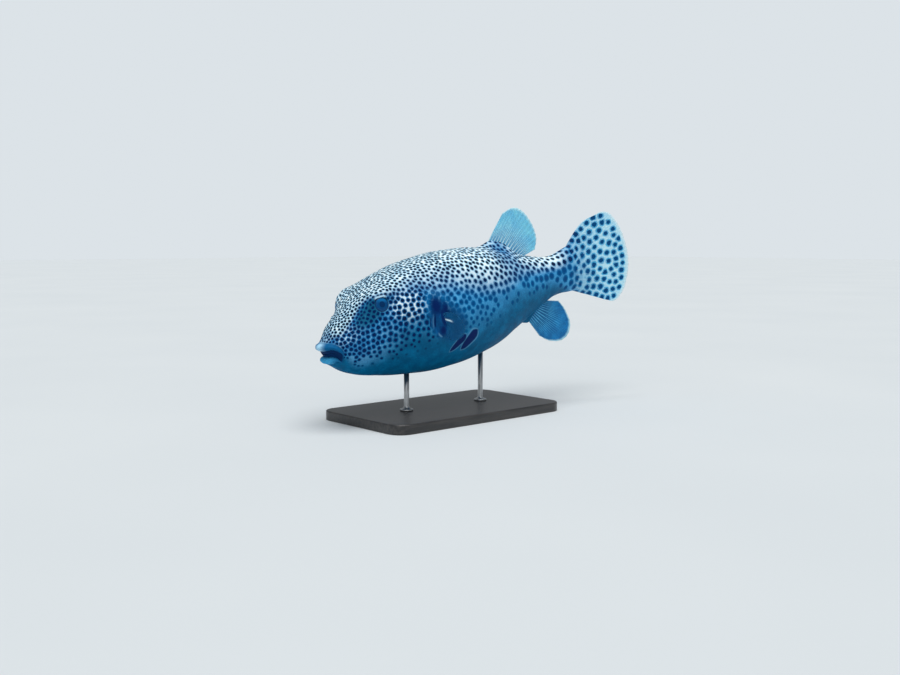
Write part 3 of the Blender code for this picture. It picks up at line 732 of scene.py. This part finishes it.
# Fine prickles and faint blotching, for the skin and the fleshy roots of the fins.
prickled = bpy.data.node_groups.new("prickled_hide", "ShaderNodeTree")
for name, way in (("Prickle Size", "INPUT"), ("Shade", "OUTPUT"), ("Relief", "OUTPUT")):
    prickled.interface.new_socket(name, in_out=way, socket_type="NodeSocketFloat")
hide = Mixer(prickled)
hide_in = prickled.nodes.new("NodeGroupInput")
hide_out = prickled.nodes.new("NodeGroupOutput")
grains = hide.node("TexVoronoi", Vector=hide.node("TexCoord", 3),
                   Scale=hide.math("DIVIDE", 1.0, hide_in.outputs[0]))
dots = hide.less(1.0, hide.step(grains, 0.0, 0.62))
wave, fine = hide.noise(55.0, 4.0), hide.noise(420.0, 3.0)
hide.feed(hide_out, Shade=hide.vary(hide.times(wave, 0.6), fine, 0.4),
          Relief=hide.vary(hide.times(dots, 0.6), fine, 0.5))


def add_hide(mixer, size):
    """Shade and relief of the prickled hide, with prickles of one size."""
    made = mixer.tree.nodes.new("ShaderNodeGroup")
    made.node_tree = prickled
    made.inputs[0].default_value = size
    return made.outputs["Shade"], made.outputs["Relief"]


_, mix, shader = start_finish("puffer_skin")
shade, prickle = add_hide(mix, 0.0015)
jitter = mix.times(mix.less(mix.noise(330.0, 2.0), 0.5), 0.45)
spot = mix.math("ADD", "spot", jitter)
# The ground is painted light and shade over skin that is really pale all over: near-white on the
# crown as painted light from above, blue down the flanks and dark teal on the belly as painted
# shade, and painted blue shade round the gill, the side fin's root and the eye.  It is also bluer
# on the rear flanks, paler on the cheek and pale on the tail fin.
ground = mix.lay(mix.blend("faint", (80, 144, 194), (56, 136, 194)),
                 ("cheek", (208, 236, 251)), ("shaded_belly", (0, 86, 128)),
                 ("pale_lit_crown", (226, 246, 253)), ("tailfin", (174, 230, 255)))
near_spot = mix.lay(mix.blend("pale_lit_crown", (4, 88, 144), (146, 194, 224)),
                    ("shaded_belly", (0, 82, 122)), ("tailfin", (56, 156, 210)))
ground = mix.lay(mix.blend(mix.step(spot, -0.08, -0.56), near_spot, ground),
                 ("eye_shade", (6, 78, 112)), ("gill_shade", (4, 66, 116)))
ground = mix.blend(mix.step(shade, 0.35, 0.75), ground, (255, 255, 255), "SOFT_LIGHT")
spot_colour = mix.lay(mix.blend("faint", (0, 34, 86), (0, 74, 132)),
                      ("cheek", (0, 22, 60)), ("pale_lit_crown", (0, 20, 48)),
                      ("tailfin", (0, 74, 130)))
core = mix.less(spot, mix.times(mix.less(1.0, "pale_lit_crown"), 0.11))
spot_mask = mix.times(mix.step(core, -0.04, 0.14), "spotted")
dark_edge = mix.vary("dark", jitter, 0.5)
# The lips are whiter on top as painted light and bluer below as painted shade, following the
# belly's painted shade.
lips = mix.blend("shaded_belly", (168, 216, 244), (62, 160, 210))
# Over the ground go pale rays and margin, the spots, pale edges with a painted glint, the dark
# marks, a painted highlight on the upper lids, the band round the lips, the lips, and the mouth's
# lining in painted shade.
painted = mix.lay(ground, (mix.times("ray", 0.22), (205, 236, 248)),
                  ("margin", (218, 244, 253)), (spot_mask, spot_colour),
                  ("pale_edge_and_glint", (112, 172, 214)), (mix.step(dark_edge, -0.10, 0.24), (0, 34, 92)),
                  ("lit_lid", (192, 230, 252)), ("lip_band", (8, 92, 144)), ("lip", lips),
                  ("mouth_shade", (0, 42, 88)))
mix.feed(shader, Base_Color=painted, Roughness=mix.vary(0.46, shade, 0.16),
         Specular_IOR_Level=0.06, Normal=mix.bump(prickle, 0.35, 0.0006))

# ---- Eyes ----
# Glossy domed eyeballs under fleshy lids that leave a round opening with a flat top: dark blue
# irises, lighter above as a painted reflection, with a faint ring round a darker pupil.
eye_finish, mix, shader = start_finish("puffer_eye")
flecks = mix.noise(900.0, 4.0)
ring = mix.less(mix.step("iris", 0.42, 0.46), mix.step("iris", 0.47, 0.54))
# The lighter top of the iris is a painted reflection.
iris_colour = mix.lay(mix.blend(mix.step(flecks, 0.35, 0.7), (0, 62, 114), (4, 78, 132)),
                      ("high", (16, 106, 166)), (mix.step("iris", 0.84, 1.04), (2, 56, 100)),
                      (mix.times(ring, 0.2), (24, 100, 148)))
mix.feed(shader, Roughness=mix.vary(0.10, flecks, 0.06), Specular_IOR_Level=0.05,
         Base_Color=mix.blend(mix.step("iris", 0.40, 0.50), (0, 48, 94), iris_colour),
         Coat_Weight=0.18, Coat_Roughness=0.05)


def turned_rings(middle, side_way, up_way, axis, profile, sides):
    """Rings of points turned about an axis, from (distance from the axis, way along it)."""
    return [middle + axis * high + side_way * (wide * math.cos(turn))
            + up_way * (wide * math.sin(turn)) for wide, high in profile
            for turn in np.linspace(0, 2 * math.pi, sides + 1)[:-1]]


# The dome passes a little under the lids; behind it the ball draws in, hidden in the socket.
dome_end, dome_round, dome_high, set_in = 1.19, 1.24, 0.0056, 0.0030
hidden_away, hidden_deep = np.array(((0.0152, 0.0120, 0.004), (0.004, 0.009, 0.0115)))
back_pole, sides = 0.012, 64
for eye_name, middle, axis in zip(("eye_left", "eye_right"), eye_middles, eye_axes):
    away = np.linspace(0.0, dome_end, 44)[1:] * eye_opening
    lift = eye_lift + dome_high * np.sqrt(1 - (away / (dome_round * eye_opening)) ** 2) - set_in
    away = np.concatenate([away, hidden_away])
    lift = np.concatenate([lift, eye_lift - hidden_deep])
    side_way = unit(np.cross(axis, (0, 0, 1)))
    ball = turned_rings(middle, side_way, np.cross(side_way, axis), axis, zip(away, lift), sides)
    front, back = len(ball), (len(away) - 1) * sides
    ball += [middle + axis * (eye_lift + dome_high - set_in),
             middle + axis * (eye_lift - back_pole)]
    faces = ring_faces(len(away), sides)
    faces += [(front, (column + 1) % sides, column) for column in range(sides)]
    faces += [(front + 1, back + column, back + (column + 1) % sides)
              for column in range(sides)]
    rise = np.sin(np.linspace(0, 2 * math.pi, sides + 1)[:-1])
    # A painted reflection: the iris lightens towards its top.
    reflection_band = ease(np.outer(away / eye_opening, rise), 0.15, 0.75)
    eyeball = mesh_piece(eye_name + "_ball", eye_finish, ball, faces, {
        "iris": np.append(np.repeat(away / eye_opening, sides), (0.0, 1.2)),
        "high": np.append(reflection_band, (0.0, 0.0))})
    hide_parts(eye_name)

# ---- Teeth ----
# The beak: two plates of fused teeth, set back in the jaws.  It stays as solids, behind the
# dark lining of the mouth.  Its greys, darker than real teeth, are painted shade of the mouth's
# hollow; the stain varies their tone at random.
tooth_finish, mix, shader = start_finish("puffer_tooth")
stain = mix.noise(300.0, 4.0)
mix.feed(shader, Roughness=mix.vary(0.25, stain, 0.2),
         Base_Color=mix.blend(mix.step(stain, 0.3, 0.75), (148, 158, 150), (96, 116, 118)))
for tooth_name in ("teeth_upper", "teeth_lower"):
    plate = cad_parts[tooth_name]
    plate.data.materials.clear()
    plate.data.materials.append(tooth_finish)

# ---- Fins ----
# Thin webs stiffened by soft branching rays, fleshy where they leave the body and pale along
# their margins.
sink = 0.06                 # how far a fin starts inside the body, as a share of its length


def blade(middle, thickness, rays, outs=46, across_count=176, scallop=0.0016, pleat=0.0003):
    """Points, faces and masks of a closed thin fin about a surface middle(outward, across):
    outward is 0 at the root and 1 at the margin, across runs from the first ray to the last."""
    outward, across = np.meshgrid(np.linspace(0, 1, outs), np.linspace(0, 1, across_count),
                                  indexing="ij")
    surface = middle(outward, across)
    edge = unit(surface[-1] - surface[-4])
    wave = scallop * (np.abs(np.cos(math.pi * rays * across)) ** 1.5 - 0.4)
    surface = surface + edge[None] * (wave * outward ** 3)[:, :, None]
    normal = unit(np.cross(np.gradient(surface, axis=0), np.gradient(surface, axis=1)))
    ridge = ray_ridges(rays, outward, across)
    half = thickness(outward, across) / 2 + 0.00032 * ridge * ease(outward, 0.05, 0.25)
    ripple = pleat * np.sin(math.pi * 2 * rays * across) * ease(outward, 0.2, 0.9)
    surface = surface + normal * ripple[:, :, None]
    vertices = np.concatenate([(surface + side * normal * half[:, :, None]).reshape(-1, 3)
                               for side in (-1, 1)])
    layer = outs * across_count
    faces = []
    for row in range(outs - 1):
        for column in range(across_count - 1):
            corner = row * across_count + column
            quad = (corner, corner + 1, corner + across_count + 1, corner + across_count)
            faces += [quad, tuple(index + layer for index in reversed(quad))]
    rim = [row * across_count for row in range(outs)]
    rim += [(outs - 1) * across_count + column for column in range(1, across_count)]
    rim += [row * across_count + across_count - 1 for row in range(outs - 2, -1, -1)]
    rim += list(range(across_count - 2, 0, -1))
    faces += [(corner, after, after + layer, corner + layer)
              for corner, after in zip(rim, rim[1:] + rim[:1])]
    margin = np.maximum(ease(outward, 0.945, 0.99),
                        0.5 * ease(np.abs(across - 0.5), 0.47, 0.5) * ease(outward, 0.4, 0.9))
    masks = {"ray": ridge, "outward": outward, "margin": margin, "across": across}
    return vertices, faces, {name: np.concatenate([values.ravel()] * 2)
                             for name, values in masks.items()}


def fleshy(root, share):
    """Thickness over a fin: fleshy near the root, then thin to the margin and both edges."""
    def thickness(outward, across):
        flesh = np.clip(1 - outward / share, 0, 1) ** 2
        rounding = np.sqrt(np.clip(1 - (2 * across - 1) ** 2, 0, 1))
        return 0.0008 + 0.0012 * (1 - outward) + root * flesh * rounding
    return thickness


def on_midline(root, margin):
    """A fin's surface on the fish's midline, its rays running straight from root to margin."""
    def middle(outward, across):
        begin = [a + (b - a) * across for a, b in zip(*root)]
        end = along(margin, across)
        station, height = (s + (e - s) * (outward * (1 + sink) - sink)
                           for s, e in zip(begin, end))
        return place(station, 0.0 * station, height)
    return middle


def fin_finish(name, web, web_far, ray_colour, margin_colour, clearness, flesh_colour,
               firmness=0.8, ray_end=0.62, ray_share=0.9, glint_colour=None):
    """A web that is clear between its rays, and solid at the root, the rays and the margin."""
    finish, mix, shader = start_finish(name)
    shade, prickle = add_hide(mix, 0.0012)
    fine_rays = mix.step(mix.math("SINE", mix.times("across", 330.0)), -0.4, 1.0)
    streak = mix.times(mix.less(1.0, mix.step("outward", 0.26, ray_end)), ray_share)
    fleshy_root = mix.less(1.0, mix.step("outward", 0.08, 0.26))
    web_colour = mix.lay(mix.blend(mix.step("outward", 0.15, 0.75), web, web_far),
                         (mix.times("ray", streak), ray_colour),
                         (mix.times(fine_rays, 0.10), ray_colour),
                         ("margin", margin_colour), (fleshy_root, flesh_colour))
    solid = mix.math("MAXIMUM", fleshy_root, mix.math("MAXIMUM", "margin", "ray"))
    solid = mix.times(solid, firmness)
    # A painted highlight: a pale, solid streak where light catches the rays.
    if glint_colour:
        web_colour = mix.lay(web_colour, ("fin_glint", glint_colour))
        solid = mix.math("MAXIMUM", solid, "fin_glint")
    shaded = mix.blend(mix.step(shade, 0.35, 0.75), web_colour, (255, 255, 255), "SOFT_LIGHT")
    mix.feed(shader, Base_Color=shaded, Roughness=mix.vary(0.38, shade, 0.2),
             Alpha=mix.less(1.0, mix.times(mix.less(1.0, solid), clearness)),
             Specular_IOR_Level=0.14, Normal=mix.bump(prickle, 0.2, 0.0004))
    return finish


dorsal_root = ((0.424, 0.082), (0.515, 0.052))
dorsal_margin = ((0.4885, 0.1495), (0.511, 0.1555), (0.527, 0.153), (0.542, 0.141),
                 (0.554, 0.123), (0.562, 0.102), (0.564, 0.082), (0.557, 0.062))
dorsal_finish = fin_finish("dorsal_web", (38, 128, 186), (104, 200, 242), (190, 234, 250),
                           (172, 228, 248), 0.22, (44, 116, 168), ray_end=0.85, ray_share=1.0)
fin_dorsal = mesh_piece("dorsal_fin", dorsal_finish, *blade(
    on_midline(dorsal_root, dorsal_margin), fleshy(0.013, 0.42), 14, scallop=0.0007))
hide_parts("fin_dorsal")

anal_root = ((0.506, -0.062), (0.548, -0.044))
anal_margin = ((0.540, -0.119), (0.562, -0.134), (0.591, -0.1415), (0.6125, -0.134),
               (0.623, -0.113), (0.6185, -0.0905), (0.6105, -0.072), (0.600, -0.057))
anal_finish = fin_finish("anal_web", (0, 74, 136), (0, 96, 164), (84, 182, 228),
                         (166, 224, 246), 0.03, (0, 76, 126), ray_end=1.10, ray_share=1.0)
fin_anal = mesh_piece("anal_fin", anal_finish, *blade(
    on_midline(anal_root, anal_margin), fleshy(0.012, 0.40), 13, scallop=0.0008))
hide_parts("fin_anal")

# The side fins fan out from behind the gills, swept back and flared off the flanks.  A painted
# highlight, a pale streak where light catches the upper rays, runs back from the upper root of
# each.
side_top, side_foot = (0.2150, 0.013), (0.2195, -0.029)
side_long, side_sunk, side_roundness = 0.048, 0.006, 0.7
side_spread, side_droop = math.radians(34), math.radians(15)
side_flare, side_straighten = math.radians(27), 0.45
glint_across, glint_outward, glint_slant, glint_wide = 0.235, 0.356, 0.44, 0.024
side_finish = fin_finish("side_web", (4, 78, 128), (4, 80, 130), (6, 78, 126), (10, 82, 130),
                         0.46, (24, 88, 136), 0.15, glint_colour=(206, 236, 252))
for side, fin_name in ((-1, "fin_pectoral_left"), (1, "fin_pectoral_right")):
    def side_fan(outward, across, side=side):
        outward = outward * (1 + sink) - sink
        station, height = (top + (foot - top) * across
                           for top, foot in zip(side_top, side_foot))
        out = through(half_width, station) - side_sunk
        length = side_long * (
            0.42 + 0.58 * np.abs(np.sin(math.pi * across)) ** side_roundness)
        fan = side_spread * (0.5 - across) - side_droop
        curl = side_flare * (1 - side_straighten * outward)
        reach = length * outward
        return place(station + reach * np.cos(fan) * np.cos(curl),
                     side * (out + 0.006 * outward + reach * np.sin(curl)),
                     height + reach * np.sin(fan))

    side_points, side_faces, masks = blade(side_fan, fleshy(0.008, 0.34), 13, 40, 180,
                                           0.0007, 0.0001)
    glint_line = glint_across + glint_slant * (masks["outward"] - glint_outward)
    masks["fin_glint"] = (bump(masks["across"] - glint_line, glint_wide)
                     * ease(masks["outward"], 0.30, 0.40)
                     * (1 - ease(masks["outward"], 0.50, 0.62)))
    side_fin = mesh_piece(fin_name.replace("fin_pectoral", "side_fin"), side_finish,
                          side_points, side_faces, masks)
    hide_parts(fin_name)

# ---- Stand ----
# A flat hardwood plate, stained black and waxed, with rounded corners and an eased top edge.
base_low, base_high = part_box("stand_base")
base_finish, mix, shader = start_finish("stained_wood")
grain = mix.noise(4.0, 8.0, stretch=(3.0, 55.0, 55.0))
pores = mix.noise(26.0, 3.0, stretch=(2.0, 60.0, 60.0))
wood = mix.lay(mix.blend(mix.step(grain, 0.30, 0.72), (26, 26, 29), (58, 55, 54)),
               (mix.step(pores, 0.58, 0.70), (16, 16, 18)))
mix.feed(shader, Base_Color=wood, Roughness=mix.vary(0.34, grain, 0.18),
         Coat_Weight=0.25, Coat_Roughness=0.25,
         Normal=mix.bump(mix.less(grain, mix.times(pores, 0.4)), 0.25, 0.0005))


def capped_rings(rings, sides):
    """Faces of a closed solid: its rings, and a flat face over the first and the last."""
    end = (rings - 1) * sides
    return ring_faces(rings, sides) + [tuple(range(sides))[::-1],
                                       tuple(range(end, end + sides))]


corner_radius = 0.030
half_long, half_wide = (base_high.x - base_low.x) / 2, (base_high.y - base_low.y) / 2
base_middle = (base_low + base_high) / 2
# The rim's section, as insets and heights: eased under the edge, upright, and rounded over.
plate_top, upright_top, rounding = 0.018, 0.0157, 0.0023
rim_section = [(0.0012, 0.0), (0.0004, 0.0003), (0.0, 0.0012), (0.0, 0.0152)]
rim_section += [(rounding * (1 - math.cos(turn)), upright_top + rounding * math.sin(turn))
                for turn in np.radians((0, 15, 30, 45, 60, 75, 90))]
rim_section += [(0.010, plate_top), (0.028, plate_top)]
corner_points, rim_points = 13, []
for inset, height in rim_section:
    radius = corner_radius - inset
    for corner, (sign_x, sign_y) in enumerate(((1, 1), (-1, 1), (-1, -1), (1, -1))):
        middle_x = base_middle.x + sign_x * (half_long - corner_radius)
        middle_y = base_middle.y + sign_y * (half_wide - corner_radius)
        rim_points += [(middle_x + radius * math.cos(turn), middle_y + radius * math.sin(turn),
                        base_low.z + height)
                       for turn in np.radians(90 * corner + np.linspace(0, 90, corner_points))]
base_plate = mesh_piece("base_plate", base_finish, rim_points,
                        capped_rings(len(rim_section), 4 * corner_points))
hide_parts("stand_base")

# Two turned rods of brushed steel stand on flat feet screwed to the plate, and end in the
# fish's belly.
rod_finish, mix, shader = start_finish("brushed_steel")
brushing, smudge = mix.noise(12.0, 4.0, stretch=(4.0, 4.0, 500.0)), mix.noise(60.0, 2.0)
mix.feed(shader, Base_Color=mix.blend(brushing, (150, 152, 154), (205, 207, 208)),
         Metallic=1.0, Roughness=mix.vary(0.24, smudge, 0.16),
         Normal=mix.bump(brushing, 0.08, 0.0002))
rod_sides = 48
for rod_name in ("stand_rod_front", "stand_rod_rear"):
    rod_low, rod_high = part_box(rod_name)
    foot, end = base_high.z + 0.0002, rod_high.z + 0.004
    middle = np.array(((rod_low.x + rod_high.x) / 2, (rod_low.y + rod_high.y) / 2, 0.0))
    profile = [(0.0121, foot), (0.0125, foot + 0.0004), (0.0125, foot + 0.0030),
               (0.0120, foot + 0.0036), (0.0100, foot + 0.0042), (0.0078, foot + 0.0050),
               (0.0062, foot + 0.0060), (0.0054, foot + 0.0074), (0.0050, foot + 0.0095),
               (0.0050, foot + 0.0300), (0.0050, end)]
    rod_points = turned_rings(middle, *np.eye(3), profile, rod_sides)
    rod = mesh_piece(rod_name.replace("stand_", ""), rod_finish, rod_points,
                     capped_rings(len(profile), rod_sides))
    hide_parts(rod_name)

# ---- Studio ----
# A plain pale floor under soft light: a broad bank overhead, as daylight falls on the back,
# and a weak fill from one side.
floor_mesh = bpy.data.meshes.new("floor")
floor_mesh.from_pydata([(-20, -20, 0), (20, -20, 0), (20, 20, 0), (-20, 20, 0)], [],
                       [(0, 1, 2, 3)])
floor_finish, mix, shader = start_finish("studio_floor")
mix.feed(shader, Roughness=0.85,
         Base_Color=mix.blend(mix.noise(1.5, 2.0), (206, 212, 216), (214, 219, 222)))
floor_mesh.materials.append(floor_finish)
floor = add_object("floor", floor_mesh)

world = bpy.data.worlds.new("studio")
world.use_nodes = True
sky = world.node_tree.nodes["Background"]
mix = Mixer(world.node_tree)
mix.feed(sky, Color=colour(224, 231, 236), Strength=mix.vary(0.40, mix.node("LightPath"), 0.56))
bpy.context.scene.world = world
bpy.context.scene.view_settings.view_transform = "Standard"


def add_sun(name, way, angle, strength, tint):
    light = bpy.data.lights.new(name, "SUN")
    light.energy, light.angle, light.color = strength, math.radians(angle), tint
    lamp = add_object(name, light)
    lamp.rotation_euler = Vector(way).to_track_quat("-Z", "Y").to_euler()


add_sun("overhead", (0.10, 0.22, -1.0), 50, 2.5, (1.0, 0.99, 0.97))
add_sun("side_fill", (0.75, 0.60, -0.55), 60, 0.35, (0.95, 0.98, 1.0))

# The camera looks at the fish's left side from in front, a little above its level.
camera = add_object("camera", bpy.data.cameras.new("camera"))
camera.data.lens, camera.data.sensor_width = 40.0, 36.0
camera.location = Vector(snout) + Vector((-0.96640, -1.45639, 0.18359))
turned, dipped = math.radians(40.33), math.radians(4.0)
view_right = Vector((math.cos(turned), -math.sin(turned), 0.0))
view_ahead = Vector((math.sin(turned) * math.cos(dipped), math.cos(turned) * math.cos(dipped),
                     -math.sin(dipped)))
aim = view_ahead + view_right * 0.01865 - view_right.cross(view_ahead) * 0.02348
camera.rotation_euler = aim.to_track_quat("-Z", "Y").to_euler()
camera.data.clip_end = 100
bpy.context.scene.camera = camera
